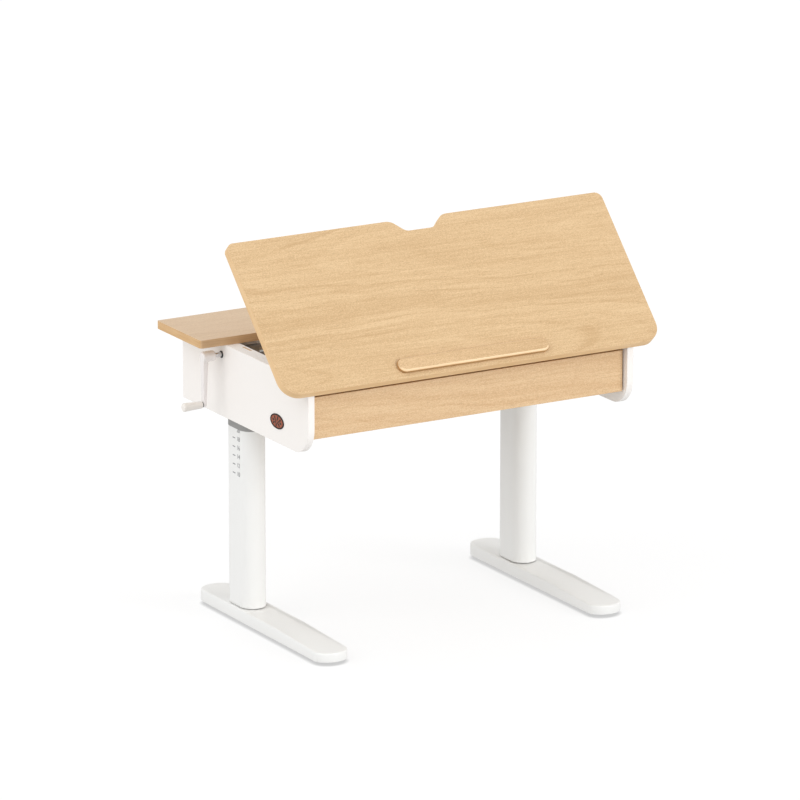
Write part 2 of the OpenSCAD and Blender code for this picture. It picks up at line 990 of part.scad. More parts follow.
module top_screws() {
  color("silver")
    desk()
      tilted() {
        top_screw_cylinders();
        for (side = [-1, 1])
          translate([side * stay_screw_x, hinge_y + stay_r, board_z - stay_foot_t - stay_screw_head_h])
            cylinder(d = stay_screw_head_d, h = stay_screw_head_h);
      }
}

// Arc-shaped friction stay, centred on the hinge line, with its foot under the top.
module stay() {
  tilted()
    difference() {
      union() {
        translate([stay_x, hinge_y, hinge_z])
          rotate([90, 0, 90])
            rotate(-stay_sweep)
              rotate_extrude(angle = stay_sweep - stay_top)
                translate([stay_r - stay_w / 2, 0])
                  square([stay_w, stay_t]);
        translate([stay_x + 2 - stay_foot_w, hinge_y + stay_r - stay_foot_l / 2, board_z - stay_foot_t])
          cube([stay_foot_w + stay_t, stay_foot_l, stay_foot_t]);
      }
      top_screw_cylinders();
    }
}

module left_stay() { color("silver") desk(-1) stay(); }
module right_stay() { color("silver") desk() stay(); }

// Cheeks on each rail that grip the stay between friction faces.
module stay_guides() {
  color("#38383a")
    for (side = [-1, 1])
      desk(side)
        difference() {
          translate([stay_x - guide_wall, guide_y, unit_top - guide_drop])
            cube([rail_x - stay_x + guide_wall, guide_l, guide_h]);
          translate([stay_x - clear, guide_y - 1, unit_top - guide_drop - 1])
            cube([stay_t + 2 * clear, guide_slot_l + 1, guide_h + 2]);
        }
}

// ---- drawer --------------------------------------------------------------------------------

module drawer_front() {
  color("#e4c298")
    desk()
      translate([-drawer_x, drawer_y, drawer_z])
        cube([2 * drawer_x, front_t, drawer_h]);
}

module drawer_sides() {
  color("#d8c3a5")
    for (side = [-1, 1])
      desk(side)
        translate([box_x - box_t, box_y, box_z])
          cube([box_t, box_end - box_y, box_h]);
}

module drawer_back() {
  color("#d8c3a5")
    desk()
      translate([-box_x + box_t, box_end - box_t, box_z])
        cube([2 * (box_x - box_t), box_t, box_h - 6]);
}

module drawer_bottom() {
  color("#cbb08a")
    desk()
      translate([-box_x + box_t, box_y, box_z])
        cube([2 * (box_x - box_t), box_end - box_t - box_y, bottom_t]);
}

// Slides on the drawer's sides that run in the channels.
module drawer_slides() {
  color("silver")
    for (side = [-1, 1])
      desk(side)
        translate([box_x, slide_y, slide_z - slide_h / 2])
          cube([slide_t, slide_l, slide_h]);
}

// ---- crank ---------------------------------------------------------------------------------

// Sleeve that turns in the left panel; the crank's shaft slides through it.
module crank_socket() {
  color("#1c1c1e")
    desk(-1)
      difference() {
        union() {
          bar_x(rail_x + 1, column_y, crank_z, socket_d, unit_w / 2 - rail_x);
          bar_x(unit_w / 2 + clear, column_y, crank_z, socket_flange_d, socket_flange_t);
        }
        bar_x(rail_x, column_y, crank_z, socket_bore, unit_w);
      }
}

module crank_shaft() {
  color("silver")
    desk(-1)
      bar_x(shaft_in, column_y, crank_z, stub_d, shaft_end - shaft_in);
}

// Hub, tapered arm and the pin that the knob turns on.
module crank_arm() {
  color("white")
    desk(-1) {
      difference() {
        union() {
          bar_x(hub_in, column_y, crank_z, hub_d, arm_out + arm_rise - hub_in);
          hull() {
            bar_x(arm_out + arm_rise - arm_t, column_y, crank_z, arm_w, arm_t, $fn = 32);
            bar_x(arm_out - arm_end_t, column_y, crank_z - crank_r, arm_end_d, arm_end_t, $fn = 32);
          }
        }
        bar_x(hub_in - 1, column_y, crank_z, stub_d, shaft_end - hub_in + 1);
      }
      bar_x(arm_out - 1, column_y, crank_z - crank_r, arm_end_d, 2.5);
      bar_x(arm_out - 1, column_y, crank_z - crank_r, knob_pin_d, knob_pin_l);
    }
}

// Tapered knob, thicker towards its outer end, bored for its pin.
module crank_knob() {
  knob_l = crank_reach - knob_in;
  color("white")
    desk(-1)
      translate([knob_in, column_y, crank_z - crank_r])
        rotate([0, 90, 0])
          difference() {
            rotate_extrude()
              polygon([[0, 0], [knob_neck_r, 0], [knob_neck_r + 0.6, 0.6], [knob_r, knob_l - 4],
                [knob_r - 0.6, knob_l - 1.2], [knob_r - 2, knob_l], [0, knob_l]]);
            translate([0, 0, -1])
              cylinder(d = knob_bore, h = knob_pin_l);
          }
}

left_foot();
right_foot();
levelling_glides();
foot_bolts();
left_base_plate();
right_base_plate();
left_outer_tube();
right_outer_tube();
left_collar();
right_collar();
left_nut_tube();
right_nut_tube();
left_screw_nut();
right_screw_nut();
height_scale();
left_inner_tube();
right_inner_tube();
left_glide_shoe();
right_glide_shoe();
left_head_bracket();
right_head_bracket();
left_gearbox();
right_gearbox();
gearbox_screws();
thrust_washers();
cross_beam();
left_side_panel();
right_side_panel();
left_rail();
right_rail();
hinge_rail();
back_panel();
rear_shelf();
shelf_stiffener();
frame_screws();
fixed_hinge_leaves();
stay_guides();
left_drawer_runner();
right_drawer_runner();
landing_pads();
badge();
tilting_board();
pencil_stop();
moving_hinge_leaves();
hinge_pins();
left_stay();
right_stay();
top_screws();
drawer_front();
drawer_sides();
drawer_back();
drawer_bottom();
drawer_slides();
cross_tube();
left_lead_screw();
right_lead_screw();
crank_socket();
crank_arm();
crank_shaft();
crank_knob();
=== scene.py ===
"""Looks for the height-adjustable drafting table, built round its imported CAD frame. Metres, +Z up."""

import json
import math

import bmesh
import bpy
from mathutils import Matrix, Vector

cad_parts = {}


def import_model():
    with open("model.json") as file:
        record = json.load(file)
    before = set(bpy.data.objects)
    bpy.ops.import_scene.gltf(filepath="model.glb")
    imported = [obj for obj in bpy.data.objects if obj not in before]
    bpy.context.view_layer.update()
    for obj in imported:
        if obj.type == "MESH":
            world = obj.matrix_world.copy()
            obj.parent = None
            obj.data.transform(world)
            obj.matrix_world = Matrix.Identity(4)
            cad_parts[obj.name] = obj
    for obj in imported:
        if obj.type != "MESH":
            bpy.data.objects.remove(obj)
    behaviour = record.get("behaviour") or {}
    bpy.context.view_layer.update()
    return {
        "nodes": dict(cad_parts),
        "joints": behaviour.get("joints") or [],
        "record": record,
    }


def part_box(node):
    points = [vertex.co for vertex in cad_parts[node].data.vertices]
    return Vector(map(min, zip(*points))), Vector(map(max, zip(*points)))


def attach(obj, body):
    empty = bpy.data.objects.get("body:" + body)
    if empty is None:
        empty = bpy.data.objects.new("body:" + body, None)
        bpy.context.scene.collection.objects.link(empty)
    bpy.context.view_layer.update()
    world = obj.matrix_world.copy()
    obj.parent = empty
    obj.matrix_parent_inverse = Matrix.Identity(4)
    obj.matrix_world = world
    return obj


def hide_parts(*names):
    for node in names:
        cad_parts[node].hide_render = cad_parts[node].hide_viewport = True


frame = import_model()

MM = 0.001
WELD = 0.001 * MM
BODY_OF = {n: body for body, names in frame["record"]["behaviour"]["bodies"].items() for n in names}
TILT = next(j for j in frame["joints"] if j["name"] == "tilt")

# ---- sizes taken from the frame ------------------------------------------------------------

HINGE = Vector(TILT["pos_m"])
TILT_REST = math.radians(-TILT["range_deg"][0])
shelf_lo, shelf_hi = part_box("rear_shelf")
DESK_X = (shelf_lo.x + shelf_hi.x) / 2
BOARD_TOP = 13.8 * MM
BOARD_FRONT = -43.6 * MM
SLOPE = Matrix.Rotation(TILT_REST, 3, "X")
FLAT = 0.995


def on_board(x, s, n=0.0):
    """Point on the tilting top: x from the desk's middle, s up the slope from the front edge, n above."""
    y = BOARD_FRONT + s
    z = BOARD_TOP + n
    return Vector((DESK_X + x,
                   HINGE.y + y * math.cos(TILT_REST) - z * math.sin(TILT_REST),
                   HINGE.z + y * math.sin(TILT_REST) + z * math.cos(TILT_REST)))


# ---- material helpers ----------------------------------------------------------------------

def srgb(r, g, b):
    """Linear colour from 8-bit sRGB values."""
    def channel(c):
        c /= 255
        return c / 12.92 if c <= 0.04045 else ((c + 0.055) / 1.055) ** 2.4
    return (channel(r), channel(g), channel(b), 1.0)


class Graph:
    """A material's node tree, with short calls to add nodes."""

    def __init__(self, name, roughness=0.5, metallic=0.0, **sockets):
        self.material = bpy.data.materials.new(name)
        self.material.use_nodes = True
        self.tree = self.material.node_tree
        self.shader = self.tree.nodes["Principled BSDF"]
        self.shader.inputs["Roughness"].default_value = roughness
        self.shader.inputs["Metallic"].default_value = metallic
        for key, value in sockets.items():
            self.shader.inputs[key.replace("_", " ")].default_value = value

    def add(self, kind, inputs=None, **settings):
        node = self.tree.nodes.new("ShaderNode" + kind)
        for key, value in settings.items():
            setattr(node, key, value)
        for key, value in (inputs or {}).items():
            if isinstance(value, bpy.types.NodeSocket):
                self.tree.links.new(value, node.inputs[key])
            else:
                node.inputs[key].default_value = value
        return node.outputs

    def to_shader(self, socket, value):
        self.tree.links.new(value, self.shader.inputs[socket])

    def math(self, operation, a, b=0.0, c=0.0):
        return self.add("Math", {0: a, 1: b, 2: c}, operation=operation)[0]

    def noise(self, vector, scale=1.0, detail=3.0, roughness=0.5):
        inputs = {"Vector": vector, "Scale": scale, "Detail": detail, "Roughness": roughness}
        return self.add("TexNoise", inputs)["Fac"]

    def line_noise(self, value, scale):
        """Uneven bands along one changing value."""
        inputs = {"W": self.math("MULTIPLY", value, scale), "Scale": 1.0, "Detail": 2.0}
        return self.add("TexNoise", inputs, noise_dimensions="1D")["Fac"]

    def levels(self, value, low, high, to_low=0.0, to_high=1.0):
        inputs = {"Value": value, "From Min": low, "From Max": high, "To Min": to_low, "To Max": to_high}
        return self.add("MapRange", inputs)["Result"]

    def mix(self, factor, a, b):
        """Blend of two colours; the numbers are the mix node's colour sockets."""
        node = self.tree.nodes.new("ShaderNodeMix")
        node.data_type = "RGBA"
        for key, value in ((0, factor), (6, a), (7, b)):
            if isinstance(value, bpy.types.NodeSocket):
                self.tree.links.new(value, node.inputs[key])
            else:
                node.inputs[key].default_value = value
        return node.outputs[2]

    def place(self, scale=(1, 1, 1), tilt=0.0):
        """Object coordinates, turned level about the hinge line and stretched."""
        coords = self.add("TexCoord")["Object"]
        turn = Matrix.Rotation(-tilt, 3, "X")
        inputs = {"Vector": coords, "Location": -(turn @ HINGE), "Rotation": (-tilt, 0, 0)}
        level = self.add("Mapping", inputs)
        return self.add("Mapping", {"Vector": level[0], "Scale": scale})[0]

    def bump(self, height, strength, distance):
        inputs = {"Height": height, "Strength": strength, "Distance": distance}
        self.to_shader("Normal", self.add("Bump", inputs)["Normal"])


def growth_rings(g, split, tip, toward, half_width, wobble):
    """Distance from a log's pith: its rings open into arches from a tip, towards +X (1) or -X (-1)."""
    along = g.math("MULTIPLY_ADD", split["X"], toward, -toward * tip[0])
    depth = g.math("MULTIPLY_ADD", along, -0.05, half_width)
    across = g.math("ADD", g.math("SUBTRACT", split["Y"], tip[1]), wobble)
    squares = g.math("ADD", g.math("MULTIPLY", across, across), g.math("MULTIPLY", depth, depth))
    return g.math("SQRT", squares)


def beech(name, light, dark, tilt=0.0, tips=((0.1, 0.3, 1), (-0.4, 0.0, -1)), rough=0.42, contrast=1.0):
    """Flat-sawn beech laminate, its grain along X: ring arches, long fibres, short dark flecks.

    Each tip is the (x, y, direction) of an arch, in the level frame of the hinge line.
    """
    g = Graph(name, roughness=rough)
    split = g.add("SeparateXYZ", {0: g.place(tilt=tilt)})
    drift = g.math("SUBTRACT", g.noise(g.place((1.6, 3, 3), tilt), 1.0, 2.0), 0.5)
    ripple = g.math("SUBTRACT", g.noise(g.place((9, 55, 55), tilt), 1.0, 2.0), 0.5)
    wobble = g.math("MULTIPLY_ADD", drift, 0.11, g.math("MULTIPLY", ripple, 0.012))
    fields = [growth_rings(g, split, (x, y), toward, 0.13, wobble) for x, y, toward in tips]
    ring = g.math("SMOOTH_MIN", fields[0], fields[1], 0.04)
    wide = g.line_noise(ring, 70.0)
    thin = g.line_noise(ring, 150.0)
    late_wood = g.levels(thin, 0.58, 0.74)
    early_wood = g.levels(thin, 0.44, 0.28)
    broken = g.levels(g.noise(g.place((5, 30, 30), tilt), 1.0, 2.0), 0.35, 0.6)
    lines = g.math("MULTIPLY", g.math("SUBTRACT", late_wood, g.math("MULTIPLY", early_wood, 0.6)), broken)
    fibre = g.noise(g.place((14, 420, 420), tilt), 1.0, 2.0, 0.6)
    hair = g.noise(g.place((280, 640, 640), tilt), 1.0, 1.0, 0.6)
    streak = g.noise(g.place((2.2, 120, 120), tilt), 1.0, 3.0, 0.6)
    cloud = g.noise(g.place((2.5, 6, 6), tilt), 1.0, 2.0)
    fleck = g.levels(g.noise(g.place((110, 700, 700), tilt), 1.0, 1.0), 0.58, 0.74)
    tone = g.math("MULTIPLY_ADD", lines, 0.34 * contrast, 0.45)
    for part, share in ((wide, 0.6), (fibre, 1.0), (hair, 2.3), (streak, 0.8), (cloud, 0.3)):
        tone = g.math("MULTIPLY_ADD", g.math("SUBTRACT", part, 0.5), share * contrast, tone)
    colour = g.mix(g.levels(tone, 0.0, 1.0), light, dark)
    pore = tuple(c * 0.70 for c in dark[:3]) + (1,)
    g.to_shader("Base Color", g.mix(g.math("MULTIPLY", fleck, 0.38 * contrast), colour, pore))
    g.to_shader("Roughness", g.levels(fibre, 0.3, 0.7, rough - 0.05, rough + 0.06))
    g.bump(hair, 0.12, 0.0002)
    return g.material


def beech_edge(name, light, dark, tilt=0.0):
    """Edge band of the beech boards: fine lines that follow the board all round."""
    rough = 0.45
    g = Graph(name, roughness=rough)
    lines = g.noise(g.place((9, 9, 1100), tilt), 1.0, 3.0, 0.6)
    cloud = g.noise(g.place((14, 14, 60), tilt), 1.0, 2.0)
    tone = g.math("MULTIPLY_ADD", g.math("SUBTRACT", cloud, 0.5), 0.8, lines)
    g.to_shader("Base Color", g.mix(g.levels(tone, 0.25, 0.75), light, dark))
    g.to_shader("Roughness", g.levels(lines, 0.3, 0.7, rough - 0.04, rough + 0.06))
    g.bump(lines, 0.08, 0.0002)
    return g.material


def coat(name, colour, rough=0.4, grain=900.0, bump=0.06, spread=0.02, metallic=0.0, **sockets):
    """Painted, moulded or laminated surface with a fine texture and slight variation of tone."""
    g = Graph(name, roughness=rough, metallic=metallic, **sockets)
    coords = g.add("TexCoord")["Object"]
    fine = g.noise(coords, grain, 2.0)
    cloud = g.noise(coords, 7.0, 3.0)
    darker = tuple(c * (1 - 2.5 * spread) for c in colour[:3]) + (1,)
    tone = g.math("MULTIPLY_ADD", g.math("SUBTRACT", fine, 0.5), 0.5, cloud)
    g.to_shader("Base Color", g.mix(g.levels(tone, 0.25, 0.75), colour, darker))
    g.to_shader("Roughness", g.levels(fine, 0.3, 0.7, rough - 0.04, rough + 0.05))
    g.bump(fine, bump, 0.0003)
    return g.material


def brushed(name, colour, rough, along=(40, 900, 900)):
    """Metal with fine lines along one direction."""
    g = Graph(name, roughness=rough, metallic=1.0)
    coords = g.add("TexCoord")["Object"]
    lines = g.noise(g.add("Mapping", {"Vector": coords, "Scale": along})[0], 1.0, 3.0, 0.6)
    cloud = g.noise(coords, 25.0, 3.0)
    darker = tuple(c * 0.82 for c in colour[:3]) + (1,)
    g.to_shader("Base Color", g.mix(g.levels(cloud, 0.3, 0.7), colour, darker))
    g.to_shader("Roughness", g.levels(lines, 0.3, 0.7, rough - 0.07, rough + 0.08))
    g.bump(lines, 0.08, 0.0002)
    return g.material


# ---- materials -----------------------------------------------------------------------------

BEECH_LIGHT = srgb(222, 191, 148)
BEECH_DARK = srgb(195, 160, 115)
mat = {
    "top": beech("beech_top", BEECH_LIGHT, BEECH_DARK, TILT_REST, ((0.125, 0.28, 1), (-0.35, -0.01, -1))),
    "stop": beech("beech_stop", srgb(224, 191, 148), BEECH_DARK, TILT_REST,
                  ((0.9, 0.1, 1), (-0.9, -0.1, -1))),
    "top_edge": beech_edge("beech_top_edge", srgb(238, 203, 155), srgb(224, 184, 132), TILT_REST),
    # Painted highlight for the pencil stop's front rounding, and painted shade for its side.
    "stop_painted_highlight": beech_edge("beech_stop_painted_highlight", srgb(247, 216, 174), srgb(236, 202, 156), TILT_REST),
    "stop_painted_shade": beech_edge("beech_stop_painted_shade", srgb(192, 148, 96), srgb(172, 128, 78), TILT_REST),
    # Painted shade: edge colour for faces that lie in the top's shade, the shelf's front and the hinge
    # rail.
    "painted_shade_edge": beech_edge("beech_painted_shade_edge", srgb(226, 190, 148), srgb(202, 166, 124)),
    "shelf": beech("beech_shelf", srgb(231, 203, 170), srgb(213, 182, 146), 0.0,
                   ((0.3, 0.42, 1), (-0.7, 0.52, -1)), contrast=0.8),
    "shelf_edge": beech_edge("beech_shelf_edge", srgb(222, 184, 134), srgb(206, 163, 110)),
    "front": beech("beech_front", srgb(231, 199, 157), srgb(208, 169, 124), math.pi / 2,
                   ((0.05, 0.14, 1), (-0.5, -0.2, -1)), contrast=0.9),
    "drawer": beech("birch_drawer", srgb(222, 203, 176), srgb(206, 184, 152), rough=0.55),
    "panel": coat("white_melamine", srgb(248, 244, 240), 0.38, 700, 0.04, 0.006),
    "steel_white": coat("white_powder_coat", srgb(240, 240, 238), 0.42, 1500, 0.10, 0.008),
    "collar": coat("grey_collar", srgb(154, 153, 151), 0.5, 1100, 0.10, 0.03),
    "black": coat("black_plastic", srgb(38, 38, 40), 0.45, 1300, 0.10, 0.04),
    "grey_steel": coat("grey_steel", srgb(172, 164, 160), 0.38, 1200, 0.08, 0.02),
    "zinc_pale": coat("pale_steel", srgb(226, 224, 224), 0.34, 1200, 0.06, 0.015),
    "zinc": brushed("zinc_steel", srgb(200, 200, 198), 0.34),
    "cast": coat("die_cast", srgb(165, 166, 168), 0.45, 600, 0.15, 0.04, metallic=0.9),
    "brass": brushed("bronze_nut", srgb(196, 158, 90), 0.3),
    "chrome": brushed("plated_shaft", srgb(215, 215, 217), 0.12, (60, 300, 300)),
    "crank": coat("crank_white", srgb(243, 238, 236), 0.16, 500, 0.02, 0.008, Coat_Weight=0.8,
                  Coat_Roughness=0.05),
    "knob": coat("knob_white", srgb(243, 238, 232), 0.35, 800, 0.05, 0.01),
    "label": coat("scale_label", srgb(240, 240, 238), 0.42, 1500, 0.05, 0.008),
    "marks": coat("scale_marks", srgb(138, 139, 141), 0.5, 1500, 0.05, 0.02),
    "buffer": coat("cork_buffer", srgb(222, 190, 156), 0.7, 420, 0.35, 0.10),
    "badge_rim": coat("badge_rim", srgb(36, 14, 5), 0.6, 900, 0.05, 0.04),
    "badge_field": coat("badge_field", srgb(168, 88, 59), 0.38, 900, 0.06, 0.05, metallic=0.3),
    "badge_mark": coat("badge_mark", srgb(52, 38, 28), 0.55, 900, 0.06, 0.05),
}

# ---- mesh helpers --------------------------------------------------------------------------


def finish_piece(obj, node_names, materials, body=None):
    """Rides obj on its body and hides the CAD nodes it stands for."""
    for material in materials:
        obj.data.materials.append(material)
    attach(obj, body or BODY_OF[node_names[0]])
    if node_names:
        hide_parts(*node_names)
    return obj


def apply_modifiers(obj):
    """Keeps the evaluated mesh and drops the modifiers."""
    depsgraph = bpy.context.evaluated_depsgraph_get()
    mesh = bpy.data.meshes.new_from_object(obj.evaluated_get(depsgraph))
    obj.modifiers.clear()
    obj.data = mesh
    return obj


def link(name, bm):
    """Object from a bmesh."""
    mesh = bpy.data.meshes.new(name)
    bm.normal_update()
    bm.to_mesh(mesh)
    bm.free()
    obj = bpy.data.objects.new(name, mesh)
    bpy.context.collection.objects.link(obj)
    return obj


def soften(obj, width, segments, angle=32.0):
    """Rounds the sharp edges and smooths the shading."""
    bevel = obj.modifiers.new("round", "BEVEL")
    bevel.width = width
    bevel.segments = segments
    bevel.limit_method = "ANGLE"
    bevel.angle_limit = math.radians(angle)
    bevel.harden_normals = False
    apply_modifiers(obj)
    smooth(obj)
    weighted = obj.modifiers.new("shade", "WEIGHTED_NORMAL")
    weighted.keep_sharp = True
    weighted.weight = 80
    apply_modifiers(obj)
    return obj


def soft_copy(node, width, segments):
    """Copy of a CAD node whose flat faces are merged and whose sharp edges are rounded.

    Merging can leave a face across a ring's opening, as it does in the left collar.
    """
    bm = bmesh.new()
    bm.from_mesh(frame["nodes"][node].data)
    bmesh.ops.remove_doubles(bm, verts=bm.verts, dist=WELD)
    bmesh.ops.dissolve_limit(bm, angle_limit=math.radians(1.0), verts=bm.verts, edges=bm.edges)
    return soften(link("soft_" + node, bm), width, segments)


def dress(node, material, width):
    """Stands a softened copy in for a CAD node."""
    obj = soft_copy(node, width, 2)
    return finish_piece(obj, [node], [material])


def split_faces(obj, normal, faces_first=0.9):
    """Gives the faces that look along the normal slot 0, and the edges all round slot 1."""
    for polygon in obj.data.polygons:
        polygon.material_index = 0 if abs(polygon.normal.dot(normal)) > faces_first else 1


def arc(centre, radius, start, end, steps):
    """Points on a circle, in degrees."""
    points = []
    for i in range(steps + 1):
        a = math.radians(start + (end - start) * i / steps)
        points.append((centre[0] + radius * math.cos(a), centre[1] + radius * math.sin(a)))
    return points


def stadium(length, width, steps=24):
    """Outline with half-round ends, its length along the second axis."""
    half = (length - width) / 2
    return arc((0, half), width / 2, 0, 180, steps) + arc((0, -half), width / 2, 180, 360, steps)


def prism(outline, low, high, place):
    """Bmesh of an outline extruded from low to high; both may be functions of (x, y).

    place turns (x, y, height) into a point in the world.
    """
    bm = bmesh.new()
    low_of = low if callable(low) else lambda x, y: low
    high_of = high if callable(high) else lambda x, y: high
    bottom = [bm.verts.new(place(x, y, low_of(x, y))) for x, y in outline]
    top = [bm.verts.new(place(x, y, high_of(x, y))) for x, y in outline]
    bm.faces.new(bottom[::-1])
    bm.faces.new(top)
    count = len(outline)
    for i in range(count):
        j = (i + 1) % count
        bm.faces.new((bottom[i], bottom[j], top[j], top[i]))
    bmesh.ops.recalc_face_normals(bm, faces=bm.faces)
    return bm


def revolve(profile, axis_point, direction, steps=48):
    """Bmesh of a profile of (distance along, radius) turned about an axis."""
    bm = bmesh.new()
    direction = Vector(direction).normalized()
    side = direction.orthogonal().normalized()
    other = direction.cross(side)
    rings = []
    for along, radius in profile:
        centre = Vector(axis_point) + direction * along
        if radius == 0:
            rings.append([bm.verts.new(centre)])
            continue
        rings.append([bm.verts.new(centre + radius * (math.cos(a) * side + math.sin(a) * other))
                      for a in (2 * math.pi * k / steps for k in range(steps))])
    for first, second in zip(rings, rings[1:]):
        for k in range(steps):
            m = (k + 1) % steps
            if len(first) == 1:
                bm.faces.new((first[0], second[k], second[m]))
            elif len(second) == 1:
                bm.faces.new((first[k], first[m], second[0]))
            else:
                bm.faces.new((first[k], first[m], second[m], second[k]))
    bmesh.ops.recalc_face_normals(bm, faces=bm.faces)
    return bm


def smooth(obj):
    """Shades every face smooth."""
    obj.data.polygons.foreach_set("use_smooth", [True] * len(obj.data.polygons))
    return obj


# ---- wooden boards -------------------------------------------------------------------------


def board():
    """Tilting top: small round-over on every edge, edge band all round."""
    obj = soft_copy("tilting_board", 3.0 * MM, 5)
    split_faces(obj, SLOPE @ Vector((0, 0, 1)), FLAT)
    return finish_piece(obj, ["tilting_board"], [mat["top"], mat["top_edge"]])


def shelf():
    """Fixed shelf; its front edge, which lies in the top's shade, has its own edge colour as painted shade.
    """
    obj = soft_copy("rear_shelf", 2.0 * MM, 4)
    split_faces(obj, Vector((0, 0, 1)), FLAT)
    # Faces that look forward get the painted-shade edge colour.
    facing_front = 0.6
    for polygon in obj.data.polygons:
        if polygon.normal.y < -facing_front:
            polygon.material_index = 2
    return finish_piece(obj, ["rear_shelf"],
                        [mat["shelf"], mat["shelf_edge"], mat["painted_shade_edge"]])


def drawer_face():
    """Drawer front: grained faces and banded edges."""
    obj = soft_copy("drawer_front", 0.8 * MM, 3)
    split_faces(obj, Vector((0, 1, 0)))
    return finish_piece(obj, ["drawer_front"], [mat["front"], mat["shelf_edge"]])


def pencil_stop():
    """Bar with half-round ends: a shadow groove at its foot, a plain side in painted shade and a
    well-rounded upper edge with a painted highlight.
    """
    length = 400 * MM
    width = 37 * MM
    height = 10 * MM
    from_edge = 12.5 * MM
    middle = from_edge + width / 2
    rounding = 6.5 * MM
    groove = 1.2 * MM
    groove_low = 1.0 * MM
    groove_high = 1.6 * MM
    profile = [(groove, 0), (groove, groove_low), (0, groove_high), (0, height - rounding)]
    for degrees in range(15, 91, 15):
        a = math.radians(degrees)
        profile.append((rounding * (1 - math.cos(a)), height - rounding * (1 - math.sin(a))))
    bm = bmesh.new()
    rings = []
    for inset, level in profile:
        outline = stadium(length - 2 * inset, width - 2 * inset)
        rings.append([bm.verts.new(on_board(y, middle - x, level)) for x, y in outline])
    for first, second in zip(rings, rings[1:]):
        for k in range(len(first)):
            m = (k + 1) % len(first)
            bm.faces.new((first[k], first[m], second[m], second[k]))
    bm.faces.new(rings[0])
    bm.faces.new(rings[-1])
    bmesh.ops.recalc_face_normals(bm, faces=bm.faces)
    obj = smooth(link("pencil_stop_bar", bm))
    up = SLOPE @ Vector((0, 0, 1))
    down_slope = SLOPE @ Vector((0, -1, 0))
    steep = 0.4
    level = 0.97
    facing_down = 0.2
    # Steep faces get painted shade; the rounding that faces down the slope gets a painted highlight.
    for polygon in obj.data.polygons:
        rise = polygon.normal.dot(up)
        if rise < steep:
            polygon.material_index = 1
        elif rise < level and polygon.normal.dot(down_slope) > facing_down:
            polygon.material_index = 2
    return finish_piece(obj, ["pencil_stop"],
                        [mat["stop"], mat["stop_painted_shade"], mat["stop_painted_highlight"]])


board()
shelf()
drawer_face()
pencil_stop()

# ---- side unit -----------------------------------------------------------------------------


def outline_of(node, axis):
    """Outer outline of a flat CAD node, seen along an axis, as points on the other two axes."""
    bm = bmesh.new()
    bm.from_mesh(frame["nodes"][node].data)
    bmesh.ops.remove_doubles(bm, verts=bm.verts, dist=WELD)
    top = max(v.co[axis] for v in bm.verts)
    cap = {f for f in bm.faces if all(abs(v.co[axis] - top) < WELD for v in f.verts)}
    rim = [e for e in bm.edges if sum(f in cap for f in e.link_faces) == 1]
    loops = []
    while rim:
        edge = rim.pop()
        loop = [edge.verts[0], edge.verts[1]]
        while loop[-1] is not loop[0]:
            edge = next(e for e in loop[-1].link_edges if e in rim)
            rim.remove(edge)
            loop.append(edge.other_vert(loop[-1]))
        loops.append(loop[:-1])
    outer = max(loops, key=lambda loop: max((v.co - loop[0].co).length for v in loop))
    others = [i for i in range(3) if i != axis]
    points = [tuple(v.co[i] for i in others) for v in outer]
    bm.free()
    return points


def side_panel(node):
    """Melamine-faced panel with lightly rounded edges. It has no hole: the crank's sleeve runs into it."""
    edge_radius = 1.2 * MM
    sharp = 60
    lo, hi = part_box(node)
    bm = prism(outline_of(node, 0), lo.x, hi.x, lambda y, z, x: (x, y, z))
    obj = soften(link("soft_" + node, bm), edge_radius, 4, sharp)
    finish_piece(obj, [node], [mat["panel"]])


for side in ("left", "right"):
    side_panel(side + "_side_panel")
    dress(side + "_rail", mat["panel"], 0.8 * MM)
    dress(side + "_drawer_runner", mat["zinc"], 0.3 * MM)
    dress(side + "_head_bracket", mat["grey_steel"], 0.8 * MM)
    dress(side + "_gearbox", mat["cast"], 0.8 * MM)
    dress(side + "_collar", mat["collar"], 0.4 * MM)
    dress(side + "_stay", mat["zinc"], 0.4 * MM)
# The hinge rail, seen only in the shade under the top, gets the painted-shade edge colour.
dress("hinge_rail", mat["painted_shade_edge"], 0.8 * MM)
dress("back_panel", mat["panel"], 1.0 * MM)
dress("shelf_stiffener", mat["zinc_pale"], 0.4 * MM)
dress("cross_beam", mat["grey_steel"], 0.8 * MM)
dress("stay_guides", mat["black"], 0.6 * MM)
dress("landing_pads", mat["buffer"], 0.5 * MM)
dress("drawer_sides", mat["drawer"], 0.8 * MM)
dress("drawer_back", mat["drawer"], 0.8 * MM)
dress("drawer_bottom", mat["drawer"], 0.4 * MM)
dress("drawer_slides", mat["zinc"], 0.5 * MM)

# ---- feet and columns ----------------------------------------------------------------------


